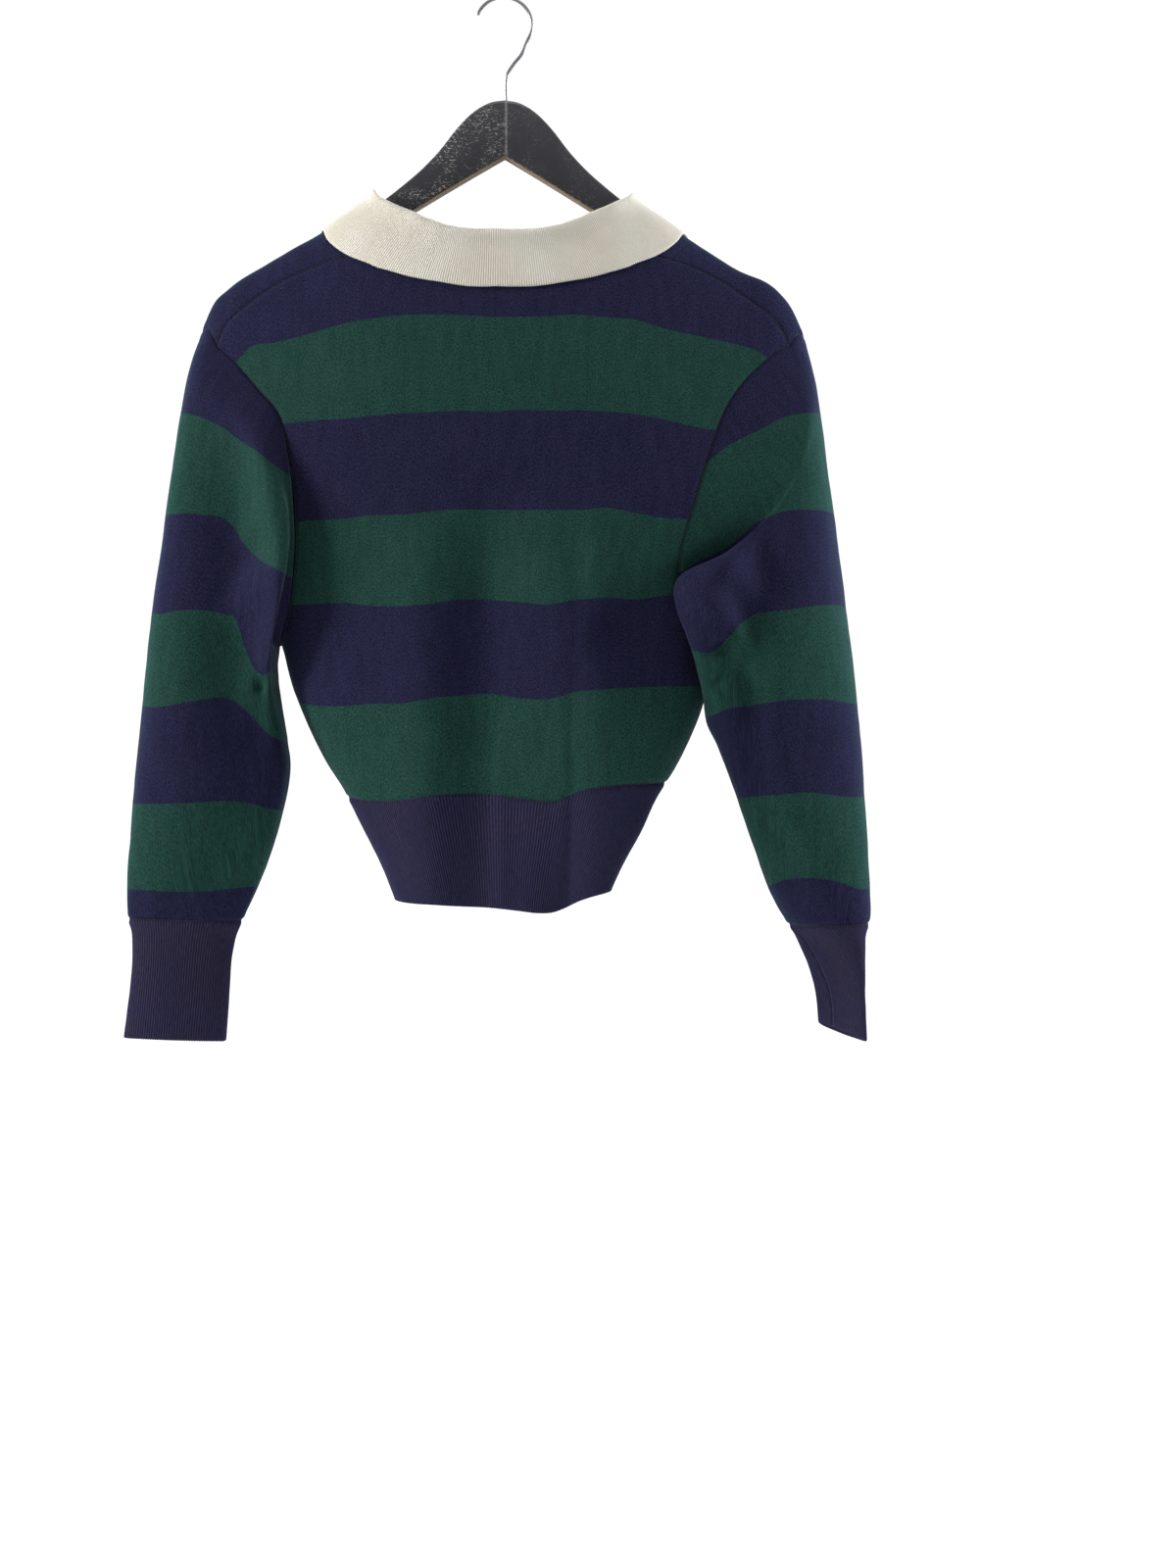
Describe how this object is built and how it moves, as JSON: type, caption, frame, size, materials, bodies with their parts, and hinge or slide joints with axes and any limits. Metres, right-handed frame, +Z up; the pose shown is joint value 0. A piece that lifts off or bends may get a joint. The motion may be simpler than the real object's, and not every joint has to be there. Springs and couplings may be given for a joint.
{
  "type": "sweater on hanger",
  "caption": "Cropped knitted sweater in wide navy and green stripes, with a cream rib fold-over collar over a V neck, hanging on a black wooden hanger with a wire hook.",
  "frame": {"origin": "inside top of the hanger's hook, where a rail carries it", "axes": "+Z up, +Y from the garment's back to its front, +X to the right of someone who looks at its back"},
  "size_m": [0.5739, 0.182, 0.8041],
  "materials": {
    "striped_knit": "fine plain knit in wide navy and dark green stripes, soft and matt",
    "navy_rib": "navy rib knit, matt",
    "cream_rib": "cream fine one-by-one rib knit, matt",
    "black_wood": "black paint, worn to grey scratches and brown edges",
    "steel_wire": "bright plated wire"
  },
  "bodies": {
    "root": {"back": "striped_knit", "front": "striped_knit", "sleeve_left": "striped_knit", "sleeve_right": "striped_knit", "hem_band": "navy_rib", "cuff_left": "navy_rib", "cuff_right": "navy_rib", "collar": "cream_rib", "hanger": "black_wood", "hanger_hook": "steel_wire"}
  },
  "joints": []
}
